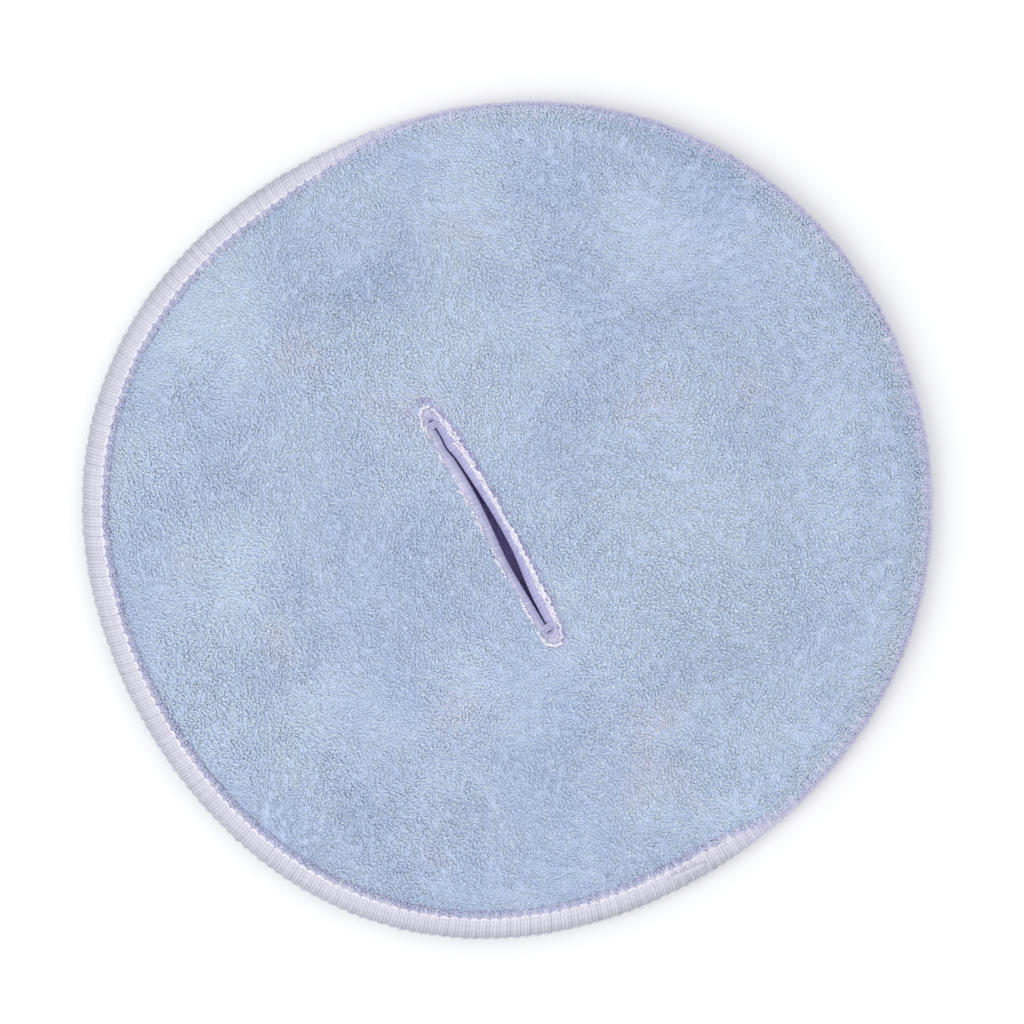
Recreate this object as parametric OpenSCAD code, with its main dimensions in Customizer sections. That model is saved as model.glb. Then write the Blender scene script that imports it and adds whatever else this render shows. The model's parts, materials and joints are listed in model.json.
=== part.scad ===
// Round plush hand-polishing pad with a finger pocket.
// Two pile cloths are sewn together round the rim with an overlocked edge. The face cloth has a stitched slit
// across its middle, and the space under it is the pocket for the fingers. The pad lies on its back cloth.
// The origin is on the resting surface under the pad's centre, with +Z up and the slit along Y.

/* [Pad] */
// Outside diameter over the overlocked edge
pad_d = 180; // [170:1:230]
// Radius of the middle, where the pocket has its full height
middle_r = 44; // [42:1:52]
// Radius of the shoulder, where the pocket ends and the layers start to draw in towards the seam
shoulder_r = 71; // [66:1:73]

/* [Layers] */
// Thickness of the back cloth with its pile
back_t = 3.4; // [3:0.1:5]
// Thickness of the foam core
foam_t = 3; // [2:0.5:5]
// Thickness of the pocket lining
lining_t = 0.4; // [0.3:0.1:0.8]
// Height of the empty pocket
pocket_h = 4.7; // [4.5:0.1:8]
// Thickness of the face cloth with its pile
face_t = 3.5; // [3:0.1:5]

/* [Overlocked edge] */
// Width of the band of thread
edge_w = 6; // [5:0.5:8]
// Thickness of the thread over the cloths
edge_t = 0.9; // [0.6:0.1:1.2]
// Depth of thread outside the cut edge of the cloths
edge_wrap = 1.8; // [1:0.1:2]
// Height of the back cloth's underside at the seam
edge_lift = 1.6; // [1:0.1:2]
// Thickness of each pile cloth where the seam presses it
pressed_t = 1.3; // [1:0.1:2]
// Thickness of the foam where the seam presses it
pressed_foam_t = 0.3; // [0.2:0.1:0.6]
// Radius of the needle thread along the seam
needle_r = 0.3; // [0.2:0.05:0.4]
// Length of the thread tail where the seam ends
tail_l = 9; // [6:1:14]
// Width of that tail
tail_w = 2.2; // [1.6:0.2:3]
// Thickness of that tail
tail_t = 0.8; // [0.6:0.1:1.2]

/* [Slit] */
// Length of the slit between its bar tacks
slit_l = 49; // [40:1:60]
// Width of the slit at its ends
gap_end = 1.2; // [1.2:0.1:2]
// Width of the slit at its middle
gap_mid = 2.4; // [2.2:0.1:6]
// Width of the stitching along each lip
bead_w = 3; // [2:0.5:4]
// Thickness of that stitching over the cloth
bead_t = 0.8; // [0.5:0.1:1]
// Length of each bar tack along the slit
tack_l = 4.5; // [4.2:0.1:6]
// Width of each bar tack across the slit
tack_w = 6.4; // [5:0.2:8]

/* [Lips] */
// Distance from the slit's centre line to each line that a lip bends along
bend_x = 20; // [15:1:24]
// Clearance between each lip and the cloth round it
clear = 0.3; // [0.3:0.05:0.5]

/* [Hidden] */

pile_blue = [0.67, 0.74, 0.86];
back_blue = [0.62, 0.69, 0.82];
thread_lilac = [0.88, 0.85, 0.93];
thread_grey = [0.80, 0.80, 0.84];
lining_violet = [0.30, 0.25, 0.48];
foam_grey = [0.86, 0.86, 0.88];

$fn = 180;
arc_fn = 720;
slope_steps = 8;
rim_steps = 14;
rim_power = 0.77;
over = 1;

// Heights in the middle, from the resting surface up
back_top = back_t;
foam_top = back_top + foam_t;
lining_top = foam_top + lining_t;
face_low = lining_top + pocket_h;
face_top = face_low + face_t;

// Height of the pad's top at the shoulder, where the face cloth lies on the lining
shoulder_top = lining_top + face_t;

// Heights at the seam, where the cloths are pressed thin
seam_back_top = edge_lift + pressed_t;
seam_foam_top = seam_back_top + pressed_foam_t;
seam_lining_top = seam_foam_top + lining_t;
seam_face_top = seam_lining_top + pressed_t;

// Radii of the seam
seam_r = pad_d / 2 - edge_w;
cut_r = pad_d / 2 - edge_wrap;
band_r = pad_d / 2 - edge_w / 2;
band_z = (edge_lift + seam_face_top) / 2;
band_half = (seam_face_top - edge_lift) / 2 + edge_t;

// Curve of each lip's edge: an arc through both ends and the middle of the slit
edge_sag = (gap_mid - gap_end) / 2;
edge_r = (slit_l * slit_l / 4 + edge_sag * edge_sag) / (2 * edge_sag);
edge_angle = asin(slit_l / 2 / (edge_r + bead_w));
edge_x = gap_mid / 2 - edge_r;
window_x = bend_x + clear / 2;
window_y = slit_l / 2 + clear;

// Share of the way from one height to the next, from 0 to 1
function ease(t) = (1 - cos(180 * t)) / 2;

// Points after radius r0 and height z0 up to radius r1 and height z1, level at both ends.
// A level run needs none.
function slope(r0, z0, r1, z1) = [
    if (z0 != z1)
        for (i = [1:slope_steps])
            let (t = i / slope_steps)
            [r0 + (r1 - r0) * t, z0 + (z1 - z0) * ease(t)]
];

// Points of a layer's surface from the pad's centre to the cloths' cut edge, with its heights in the middle,
// at the shoulder and at the seam
function surface_points(middle, shoulder, seam) = concat(
    [[0, middle], [middle == shoulder ? shoulder_r : middle_r, middle]],
    slope(middle_r, middle, shoulder_r, shoulder),
    slope(shoulder_r, shoulder, seam_r, seam),
    [[cut_r, seam]]
);

function reversed(points) = [for (i = [len(points) - 1:-1:0]) points[i]];

// Point of the band's rounded outline at an angle from the rim
function band_point(a) = [
    band_r + edge_w / 2 * sign(cos(a)) * pow(abs(cos(a)), rim_power),
    band_z + band_half * sign(sin(a)) * pow(abs(sin(a)), rim_power)
];

// Angle at which the outline meets the cloths on the pad's side
band_end = 180 - asin(pow((band_half - edge_t) / band_half, 1 / rim_power));

// A layer between two surfaces, turned round the pad's centre. Each surface is given as its three heights.
module layer(low, high) {
    rotate_extrude()
        polygon(concat(
            surface_points(low[0], low[1], low[2]),
            reversed(surface_points(high[0], high[1], high[2]))
        ));
}

// The window in the face cloth that both lips fill
module window() {
    translate([-window_x, -window_y, face_low - over])
        cube([2 * window_x, 2 * window_y, face_t + 2 * over]);
}

// A bar tack's outline, a short bar with one round end, lying outwards from y = 0
module tack_outline() {
    translate([-tack_w / 2, 0])
        square([tack_w, tack_l - tack_w / 2]);
    translate([0, tack_l - tack_w / 2])
        intersection() {
            circle(d = tack_w);
            translate([-tack_w / 2, 0])
                square([tack_w, tack_w / 2]);
        }
}

module bar_tack(low, high) {
    translate([0, window_y, low])
        linear_extrude(high - low)
            tack_outline();
}

// A profile swept along the right lip's curved edge, with x counted from that edge into the lip
module along_edge(profile) {
    translate([edge_x, 0, 0])
        rotate([0, 0, -edge_angle])
            rotate_extrude(angle = 2 * edge_angle, $fn = arc_fn)
                translate([edge_r, 0])
                    polygon(profile);
}

// The right lip: a strip of the face cloth, pressed thin where the stitching wraps its edge
module lip() {
    difference() {
        translate([0, -slit_l / 2, face_low])
            cube([bend_x - clear / 2, slit_l, face_t]);
        translate([edge_x, 0, face_low - over])
            cylinder(r = edge_r + bead_t, h = face_t + 2 * over, $fn = arc_fn);
        translate([edge_x, 0, face_top - bead_t])
            cylinder(r = edge_r + bead_w, h = bead_t + over, $fn = arc_fn);
        translate([edge_x, 0, face_low - over])
            cylinder(r = edge_r + bead_w, h = bead_t + over, $fn = arc_fn);
    }
}

// Needle thread over the lip's top and round its cut edge
module lip_stitching() {
    along_edge([
        [0, face_low + bead_t], [bead_t, face_low + bead_t], [bead_t, face_top - bead_t],
        [bead_w, face_top - bead_t], [bead_w - bead_t / 2, face_top], [bead_t, face_top],
        [0, face_top - bead_t]
    ]);
}

// Bobbin thread under the lip
module lip_bobbin_thread() {
    along_edge([
        [bead_t / 2, face_low], [bead_w - bead_t / 2, face_low], [bead_w, face_low + bead_t],
        [0, face_low + bead_t]
    ]);
}

module back_cloth() {
    color(back_blue)
        layer([0, 0, edge_lift], [back_top, back_top, seam_back_top]);
}

module foam_core() {
    color(foam_grey)
        layer([back_top, back_top, seam_back_top], [foam_top, foam_top, seam_foam_top]);
}

module pocket_lining() {
    color(lining_violet)
        layer([foam_top, foam_top, seam_foam_top], [lining_top, lining_top, seam_lining_top]);
}

module face_cloth() {
    color(pile_blue)
        difference() {
            layer(
                [face_low, lining_top, seam_lining_top],
                [face_top, shoulder_top, seam_face_top]
            );
            window();
            bar_tack(face_low - over, face_top + over);
            mirror([0, 1, 0])
                bar_tack(face_low - over, face_top + over);
        }
}

module right_lip() {
    color(pile_blue)
        lip();
}

module left_lip() {
    color(pile_blue)
        mirror([1, 0, 0])
            lip();
}

module right_lip_stitching() {
    color(thread_lilac)
        lip_stitching();
}

module left_lip_stitching() {
    color(thread_lilac)
        mirror([1, 0, 0])
            lip_stitching();
}

module right_lip_bobbin_thread() {
    color(thread_grey)
        lip_bobbin_thread();
}

module left_lip_bobbin_thread() {
    color(thread_grey)
        mirror([1, 0, 0])
            lip_bobbin_thread();
}

module rear_bar_tack() {
    color(thread_lilac)
        bar_tack(face_low, face_top);
}

module front_bar_tack() {
    color(thread_lilac)
        mirror([0, 1, 0])
            bar_tack(face_low, face_top);
}

// Stitch lines of the seam, one on the face and one on the back
module overlock_needle_thread() {
    color(thread_lilac)
        rotate_extrude() {
            translate([seam_r, seam_face_top + needle_r])
                circle(r = needle_r, $fn = 16);
            translate([seam_r, edge_lift - needle_r])
                circle(r = needle_r, $fn = 16);
        }
}

// Thread over the face side of the seam and round half of the cut edge
module upper_looper_thread() {
    color(thread_lilac)
        rotate_extrude()
            polygon(concat(
                [for (i = [0:rim_steps]) band_point(band_end * i / rim_steps)],
                [[cut_r, seam_face_top], [cut_r, band_z]]
            ));
}

// Thread under the back side of the seam and round the other half
module lower_looper_thread() {
    color(thread_grey)
        rotate_extrude()
            polygon(concat(
                [for (i = [0:rim_steps]) band_point(-band_end * i / rim_steps)],
                [[cut_r, edge_lift], [cut_r, band_z]]
            ));
}

// End of the overlock's chain, sewn down on the band where the seam started
module thread_tail() {
    color(thread_grey)
        translate([0, -band_r, seam_face_top + edge_t])
            linear_extrude(tail_t) {
                translate([-tail_l / 2, -tail_w / 2])
                    square([tail_l, tail_w]);
                for (side = [-1, 1])
                    translate([side * tail_l / 2, 0])
                        circle(d = tail_w, $fn = 32);
            }
}

back_cloth();
foam_core();
pocket_lining();
face_cloth();
left_lip();
right_lip();
left_lip_stitching();
right_lip_stitching();
left_lip_bobbin_thread();
right_lip_bobbin_thread();
front_bar_tack();
rear_bar_tack();
overlock_needle_thread();
upper_looper_thread();
lower_looper_thread();
thread_tail();
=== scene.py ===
import json
import math

import bmesh
import bpy
import numpy as np
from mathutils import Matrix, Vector


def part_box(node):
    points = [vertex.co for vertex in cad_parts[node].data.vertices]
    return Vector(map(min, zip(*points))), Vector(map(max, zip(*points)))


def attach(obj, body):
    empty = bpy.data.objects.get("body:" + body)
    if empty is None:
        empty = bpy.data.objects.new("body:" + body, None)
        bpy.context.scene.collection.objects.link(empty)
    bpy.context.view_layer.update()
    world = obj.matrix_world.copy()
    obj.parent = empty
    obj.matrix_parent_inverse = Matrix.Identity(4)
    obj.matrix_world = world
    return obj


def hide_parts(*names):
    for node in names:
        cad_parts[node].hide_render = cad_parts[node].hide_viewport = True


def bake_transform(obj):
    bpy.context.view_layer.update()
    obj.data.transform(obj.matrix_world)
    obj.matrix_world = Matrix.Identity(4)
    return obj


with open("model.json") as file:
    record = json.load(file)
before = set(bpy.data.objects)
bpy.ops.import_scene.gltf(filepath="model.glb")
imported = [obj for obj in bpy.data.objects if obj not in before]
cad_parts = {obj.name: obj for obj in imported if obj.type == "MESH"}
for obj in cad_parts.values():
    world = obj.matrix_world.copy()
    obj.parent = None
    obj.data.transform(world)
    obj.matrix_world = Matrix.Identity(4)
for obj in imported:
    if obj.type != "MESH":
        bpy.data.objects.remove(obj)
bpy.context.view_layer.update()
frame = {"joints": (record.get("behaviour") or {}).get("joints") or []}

# A round plush polishing pad. Each piece is laid out on the pad as designed, a flat circle with the slit
# along Y, and then settled: the rim takes its uneven outline, and one side of it rolls under and lifts.

MM = 0.001

# Heights and radii of the design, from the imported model
RIM_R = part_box("upper_looper_thread")[1].x
BAND_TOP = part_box("upper_looper_thread")[1].z
BAND_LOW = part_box("lower_looper_thread")[0].z
NEEDLE_W = 0.6 * MM
SEAM_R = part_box("overlock_needle_thread")[1].x - NEEDLE_W / 2
SEAM_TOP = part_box("overlock_needle_thread")[1].z - NEEDLE_W
SEAM_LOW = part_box("overlock_needle_thread")[0].z + NEEDLE_W
SEAM_FACE_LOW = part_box("face_cloth")[0].z
SEAM_LINING_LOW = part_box("pocket_lining")[0].z
SEAM_FOAM_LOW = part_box("foam_core")[0].z
CUT_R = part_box("back_cloth")[1].x
FACE_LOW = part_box("right_lip")[0].z
LINING_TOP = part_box("pocket_lining")[1].z
FOAM_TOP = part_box("foam_core")[1].z
BACK_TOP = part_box("back_cloth")[1].z
SLIT_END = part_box("right_lip")[1].y
TACK_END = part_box("rear_bar_tack")[1].y
BEND_X = frame["joints"][1]["pos_m"][0]
MIDDLE_R = 44 * MM  # the pocket has its full height out to this radius, as in the CAD
SHOULDER_R = 71 * MM  # the pocket ends here
BAND_W = RIM_R - SEAM_R
BAND_H = BAND_TOP - BAND_LOW
SEAM_Z = (SEAM_TOP + SEAM_LOW) / 2

# How the pad lies
OFF_CENTRE = 4.0 * MM  # how far the outline lies to the +X side of the slit
OVAL = 1.5 * MM  # how far it is drawn out along X
THREE_CORNERS = 1.0 * MM  # height of three soft corners, one of them on the +X side
FOUR_CORNERS = 0.8 * MM  # height of four more, halfway between X and Y
CALM_R = 30 * MM  # inside this radius nothing follows the outline
ROLL_START_R = 77 * MM  # the rolled side tilts from here out
LIFT_START_R = 62 * MM  # and lifts from here out
ROLL_TILT = math.radians(50)
ROLL_LIFT = 2.7 * MM
ROLL_REAR = 97  # degrees from +X to where the roll ends at the rear
ROLL_REAR_FADE = 30  # degrees over which it comes in there
ROLL_FRONT = 88  # the same at the front
ROLL_FRONT_FADE = 16
RIPPLE = 0.7 * MM  # lift of the rim's three ripples
RIPPLE_TURN = 2.2
SWELL = 1.1 * MM  # unevenness of the face cloth
SWELL_SIZE = 30 * MM

# Cloth and pile
CLOTH_T = 1.1 * MM
BED = 1.25 * MM  # the pile's packed lower part
TUFT_GAP = 0.5 * MM
TUFT_L = 1.5 * MM
TUFT_W = 0.60 * MM
TUFT_SLOPE = 1.04  # lean from upright, in radians
TUFT_POINTS = 7  # points in one tuft's mesh
CLUMP = 1.7 * MM
STRETCH = 2.4  # length of a clump over its width
ROUGH_SIZE = 14 * MM  # size of the crimped patches
COVER = 1.5 * MM  # how far the pile covers the band's inner edge
FUZZ_W = 3.2 * MM  # and how far on the rolled side
BACK_BED = 0.7 * MM
BACK_TUFT_GAP = 0.7 * MM
BACK_TUFT_L = 2.0 * MM
BACK_TUFT_W = 0.85 * MM
FLOOR_SOFT = 0.4 * MM  # what lies lower than this is pressed flat
FLOOR_GAP = 0.02 * MM
PRESSED_H = 0.38 * MM

# Overlocked rim
STITCHES = 245
STRANDS = 3
EDGE_THREAD_R = 0.42 * MM
BAND_CURVE = 2.6  # exponent of the band's rounded section, where 2 is an ellipse

# The slit's shape
SLIT_SHIFT = 0.25 * MM
SLIT_BOW = 0.55 * MM
BOW_Y = 5 * MM
BOW_LENGTH = 50 * MM
SLIT_KINK = -0.35 * MM
KINK_Y = 19 * MM
KINK_W = 1.8 * MM
WIDEST_Y = -7 * MM
REAR_TAPER = 14 * MM
FRONT_TAPER = 9 * MM
NARROW_GAP = 0.5 * MM
MORE_GAP = 1.8 * MM  # added to it where the slit is widest

# Stitching round the slit: places across a lip are measured from the edge of the opening
CREST = 2.2 * MM
LEFT_SHARE = 0.82  # width of the left lip's stitching over the right lip's
STRAIGHTEN = 0.6  # how far the stitching's outer edge is straighter than the opening's
MEAN_HALF = 0.75 * MM
WRAP_GAP = 0.42 * MM
BEAD_GAP = 0.66 * MM
END_SHARE = CREST / (TACK_END - SLIT_END - 0.4 * MM)
BEND_FADE = 4 * MM  # half the width over which cloth starts to follow a lip

BAKE_LAYER = "OFBake"

# ---- numbers


def smooth(t):
    t = np.clip(t, 0.0, 1.0)
    return t * t * (3 - 2 * t)


def field(x, y, size, seed):
    """A smooth random field from 0 to 1, with features about size across."""
    grid = np.random.default_rng(seed).random((64, 64))
    u, v = x / size + 32, y / size + 32
    i, j = np.floor(u).astype(int), np.floor(v).astype(int)
    fu, fv = smooth(u - i), smooth(v - j)
    near = grid[i % 64, j % 64] * (1 - fu) + grid[(i + 1) % 64, j % 64] * fu
    far = grid[i % 64, (j + 1) % 64] * (1 - fu) + grid[(i + 1) % 64, (j + 1) % 64] * fu
    return near * (1 - fv) + far * fv


def clouds(x, y, size, seed):
    """Three octaves of the field, from 0 to 1."""
    total = 4 * field(x, y, size, seed)
    total += 2 * field(x, y, size / 2, seed + 1)
    total += field(x, y, size / 4, seed + 2)
    return total / 7


def unit(v):
    return v / np.maximum(np.linalg.norm(v, axis=-1, keepdims=True), 1e-12)


# ---- the shape of the pad


def rim_radius(angle):
    """The rim's outline: a circle beside the slit, drawn out along X, with a few soft corners."""
    drawn = OFF_CENTRE * np.cos(angle) + OVAL * np.cos(2 * angle)
    corners = THREE_CORNERS * np.cos(3 * angle) - FOUR_CORNERS * np.cos(4 * angle)
    return RIM_R + drawn + corners


def roll(angle):
    """How far the rim is rolled under, from 0 where the band faces up to 1 round the +X side."""
    degrees = np.degrees(np.arctan2(np.sin(angle), np.cos(angle)))
    rear = smooth((ROLL_REAR - degrees) / ROLL_REAR_FADE)
    front = smooth((degrees + ROLL_FRONT) / ROLL_FRONT_FADE)
    return np.where(degrees > 0, rear, front)


def band_reach(tilt):
    """How far the band's outer edge stands out from the seam when the rim is tilted."""
    wide = BAND_W / 2 * np.cos(tilt)
    return wide + np.hypot(wide, BAND_H / 2 * np.sin(tilt))


def settle(points):
    """Moves points of the flat design to where they lie."""
    x, y, z = points[..., 0], points[..., 1], points[..., 2]
    r, angle = np.hypot(x, y), np.arctan2(y, x)
    rolled = roll(angle)
    tilt = ROLL_TILT * rolled * smooth((r - ROLL_START_R) / (SEAM_R - ROLL_START_R))
    ripple = RIPPLE * (0.5 + 0.5 * np.cos(3 * angle - RIPPLE_TURN))
    lift = (ROLL_LIFT * rolled + ripple) * smooth((r - LIFT_START_R) / (SEAM_R - LIFT_START_R))
    seam = rim_radius(angle) - band_reach(ROLL_TILT * rolled)
    past = np.maximum(r - SEAM_R, 0)
    along = np.minimum(r, SEAM_R) + (seam - SEAM_R) * smooth((r - CALM_R) / (SEAM_R - CALM_R))
    height = z - SEAM_Z
    out = along + past * np.cos(tilt) + height * np.sin(tilt)
    up = SEAM_Z + lift - past * np.sin(tilt) + height * np.cos(tilt)
    return np.stack([out * np.cos(angle), out * np.sin(angle), up], axis=-1)


def level(x, y, middle, shoulder, seam):
    """Height of a layer's surface, from its heights in the middle, at the shoulder and at the seam."""
    r = np.hypot(x, y)
    inner = smooth((r - MIDDLE_R) / (SHOULDER_R - MIDDLE_R))
    outer = smooth((r - SHOULDER_R) / (SEAM_R - SHOULDER_R))
    return middle + (shoulder - middle) * inner + (seam - shoulder) * outer


def swell(x, y):
    """Soft unevenness of the face cloth."""
    r = np.hypot(x, y)
    amount = smooth((r - 6 * MM) / (20 * MM)) * smooth((SEAM_R - r) / (10 * MM))
    return SWELL * (clouds(x, y, SWELL_SIZE, 11) - 0.5) * amount


def slit_line(y):
    """The slit's centre line: a slight bow, with a kink near its rear end."""
    bow = SLIT_BOW * np.cos(2 * math.pi * (y - BOW_Y) / BOW_LENGTH)
    kink = SLIT_KINK * np.exp(-(((y - KINK_Y) / KINK_W) ** 2))
    return (SLIT_SHIFT + bow + kink) * smooth((40 * MM - np.abs(y)) / (14 * MM))


def slit_half(y):
    """Half the slit's width: widest a little in front of its middle, and closed at its ends."""
    away = y - WIDEST_Y
    reach = np.where(away > 0, REAR_TAPER, FRONT_TAPER)
    width = NARROW_GAP + MORE_GAP * np.exp(-((np.abs(away) / reach) ** 1.7))
    return width / 2 * smooth((SLIT_END + 0.8 * MM - np.abs(y)) / (1.6 * MM))


def lip_share(y, side):
    """Width of the stitching on one lip, as a share of the full width. Its outer edge runs straighter than
    the opening does."""
    outer = (MEAN_HALF - side * slit_line(y) - slit_half(y)) / CREST
    straighter = STRAIGHTEN * outer * smooth((SLIT_END - np.abs(y)) / (5 * MM))
    return (1.0 if side > 0 else LEFT_SHARE) + straighter


def slit_distance(x, y, side):
    """Distance from the opening's edge into the cloth, on the scale of a lip whose stitching has its full
    width. The stitching reaches further past the ends, so distances there are shortened to match."""
    across = (side * (x - slit_line(y)) - slit_half(y)) / lip_share(y, side)
    past_end = np.maximum(np.abs(y) - SLIT_END, 0) * END_SHARE
    return np.where(past_end > 0, np.hypot(np.maximum(across, 0), past_end), across)


def lip_ridge(d, side):
    """Rise of the cloth under the stitching round the slit."""
    crest = (1.0 if side > 0 else 0.7) * MM
    return crest * smooth(d / (0.8 * CREST)) * smooth((1.6 * CREST - d) / (0.6 * CREST))


def face_under(x, y):
    """Underside of the face cloth, which is uneven only over the pocket."""
    over_pocket = smooth((60 * MM - np.hypot(x, y)) / (20 * MM))
    return level(x, y, FACE_LOW, LINING_TOP, SEAM_FACE_LOW) + swell(x, y) * over_pocket


def face_top(x, y, side):
    """Top of the face cloth, up to where the pile's tufts part. The pile's packed lower part thins out under
    the stitching and towards the seam."""
    d = slit_distance(x, y, side)
    r = np.hypot(x, y)
    bed = BED * smooth((d - 0.8 * CREST) / (1.4 * MM)) * smooth((SEAM_R + 1 * MM - r) / (5 * MM))
    under = level(x, y, FACE_LOW, LINING_TOP, SEAM_FACE_LOW)
    return under + CLOTH_T + bed + swell(x, y) + lip_ridge(d, side)


def pile_base(x, y, side):
    """Where the face's tufts stand: on the cloth, and past the seam on the threads over the rim."""
    past = np.clip(np.abs(2 * np.hypot(x, y) - RIM_R - SEAM_R) / BAND_W, 0, 1)
    band = SEAM_Z + BAND_H / 2 * (1 - past ** BAND_CURVE) ** (1 / BAND_CURVE) + 0.1 * MM
    return np.where(past < 1, np.maximum(band, face_top(x, y, side)), face_top(x, y, side))


def lining_top(x, y):
    return level(x, y, LINING_TOP, LINING_TOP, SEAM_FACE_LOW)


def foam_top(x, y):
    return level(x, y, FOAM_TOP, FOAM_TOP, SEAM_LINING_LOW)


def back_top(x, y):
    return level(x, y, BACK_TOP, BACK_TOP, SEAM_FOAM_LOW)


def back_under(x, y):
    return level(x, y, BACK_BED, BACK_BED, SEAM_LOW + 0.1 * MM)


def lip_weight(x, y):
    """A weight for how far a point would follow the lip: all the way at the middle of the slit's edge, and
    not at all past the slit's ends."""
    across = smooth((BEND_X + BEND_FADE - np.abs(x)) / (2 * BEND_FADE))
    return across * smooth((SLIT_END - np.abs(y)) / (0.85 * SLIT_END))


# ---- meshes


def mesh_object(name, points, faces, floats=None, layers=None):
    """An object from points and a list of face arrays, each with its own number of corners. floats are named
    numbers for each point, and layers are named UV layers with a pair of numbers for each point."""
    mesh = bpy.data.meshes.new(name)
    points = np.asarray(points, np.float32).reshape(-1, 3)
    faces = [np.asarray(f, np.int32) for f in faces]
    corners = np.concatenate([f.ravel() for f in faces])
    sizes = np.concatenate([np.full(len(f), f.shape[1], np.int32) for f in faces])
    mesh.vertices.add(len(points))
    mesh.vertices.foreach_set("co", points.ravel())
    mesh.loops.add(len(corners))
    mesh.loops.foreach_set("vertex_index", corners)
    mesh.polygons.add(len(sizes))
    mesh.polygons.foreach_set("loop_start", np.concatenate([[0], np.cumsum(sizes)[:-1]]).astype(np.int32))
    mesh.polygons.foreach_set("use_smooth", np.ones(len(sizes), bool))
    mesh.update(calc_edges=True)
    for key, values in (floats or {}).items():
        attribute = mesh.attributes.new(key, "FLOAT", "POINT")
        attribute.data.foreach_set("value", np.asarray(values, np.float32))
    for key, pairs in (layers or {}).items():
        layer = mesh.uv_layers.new(name=key)
        layer.data.foreach_set("uv", np.asarray(pairs, np.float32)[corners].ravel())
    obj = bpy.data.objects.new(name, mesh)
    bpy.context.scene.collection.objects.link(obj)
    return obj


def add_piece(obj, material, replaces=()):
    """Gives a piece its material and hides the CAD nodes that it stands for."""
    obj.data.materials.append(material)
    if replaces:
        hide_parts(*replaces)
    return obj


def bend_with_lip(obj):
    """Bakes a piece's transform into its mesh."""
    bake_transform(obj)


def grid_faces(rows, columns, wrap=False):
    """Faces of a grid of points stored row by row. With wrap, the last column joins the first."""
    i = np.arange(rows - 1)[:, None] * columns
    j = np.arange(columns if wrap else columns - 1)[None, :]
    k = (j + 1) % columns
    return np.stack([i + j, i + k, i + columns + k, i + columns + j], axis=-1).reshape(-1, 4)


def cell_layout(count, u, v):
    """A texture layout that gives each of count like parts a square cell of its own. u and v run over a
    part."""
    side = math.ceil(math.sqrt(count))
    index = np.arange(count)
    column = (index % side)[:, None] + 0.1 + 0.8 * u[None, :]
    row = (index // side)[:, None] + 0.1 + 0.8 * v[None, :]
    return np.stack([column, row], axis=-1).reshape(-1, 2) / side


def recalculated(obj):
    """Joins points that coincide, such as a disc's centre, and turns every face outwards."""
    work = bmesh.new()
    work.from_mesh(obj.data)
    bmesh.ops.remove_doubles(work, verts=work.verts, dist=1e-6)
    bmesh.ops.recalc_face_normals(work, faces=work.faces)
    work.to_mesh(obj.data)
    work.free()
    return obj


# ---- materials


class Nodes:
    """A material's node tree, with short names for what the materials below use."""

    def __init__(self, name):
        self.material = bpy.data.materials.new(name)
        self.material.use_nodes = True
        self.tree = self.material.node_tree
        self.shader = self.tree.nodes["Principled BSDF"]

    def add(self, kind, **settings):
        node = self.tree.nodes.new(kind)
        for key, value in settings.items():
            if key in node.inputs:
                node.inputs[key].default_value = value
            else:
                setattr(node, key, value)
        return node

    def plug(self, value, socket):
        """Links a socket, or sets a number or a colour."""
        if isinstance(value, bpy.types.NodeSocket):
            self.tree.links.new(value, socket)
        elif isinstance(value, tuple):
            socket.default_value = (*value, 1)
        else:
            socket.default_value = value

    def coordinates(self):
        return self.add("ShaderNodeTexCoord").outputs["Object"]

    def noise(self, scale, detail=3.0):
        node = self.add("ShaderNodeTexNoise", Scale=scale, Detail=detail)
        self.plug(self.coordinates(), node.inputs["Vector"])
        return node.outputs["Fac"]

    def span(self, value, low, high, to_low=0.0, to_high=1.0):
        """Maps a value from one range to another, and holds it there."""
        node = self.add("ShaderNodeMapRange", interpolation_type="SMOOTHSTEP")
        for place, item in enumerate((value, low, high, to_low, to_high)):
            self.plug(item, node.inputs[place])
        return node.outputs[0]

    def ramp(self, value, *stops):
        node = self.add("ShaderNodeValToRGB")
        elements = node.color_ramp.elements
        while len(elements) < len(stops):
            elements.new(0.5)
        for element, (place, colour) in zip(elements, stops):
            element.position = place
            element.color = (*colour, 1)
        self.plug(value, node.inputs["Fac"])
        return node.outputs["Color"]

    def mix(self, share, a, b):
        node = self.add("ShaderNodeMix", data_type="RGBA")
        for value, place in ((share, 0), (a, 6), (b, 7)):
            self.plug(value, node.inputs[place])
        return node.outputs[2]

    def attribute(self, name):
        return self.add("ShaderNodeAttribute", attribute_name=name).outputs["Fac"]

    def math(self, kind, *values):
        node = self.add("ShaderNodeMath", operation=kind)
        for value, socket in zip(values, node.inputs):
            self.plug(value, socket)
        return node.outputs[0]

    def bump(self, height, strength, distance):
        node = self.add("ShaderNodeBump", Strength=strength, Distance=distance)
        self.plug(height, node.inputs["Height"])
        self.plug(node.outputs["Normal"], self.shader.inputs["Normal"])

    def finish(self, colour, roughness, sheen=0.0, specular=0.3):
        self.plug(colour, self.shader.inputs["Base Color"])
        self.shader.inputs["Roughness"].default_value = roughness
        self.shader.inputs["Sheen Weight"].default_value = sheen
        self.shader.inputs["Sheen Roughness"].default_value = 0.45
        self.shader.inputs["Specular IOR Level"].default_value = specular
        return self.material


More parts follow.
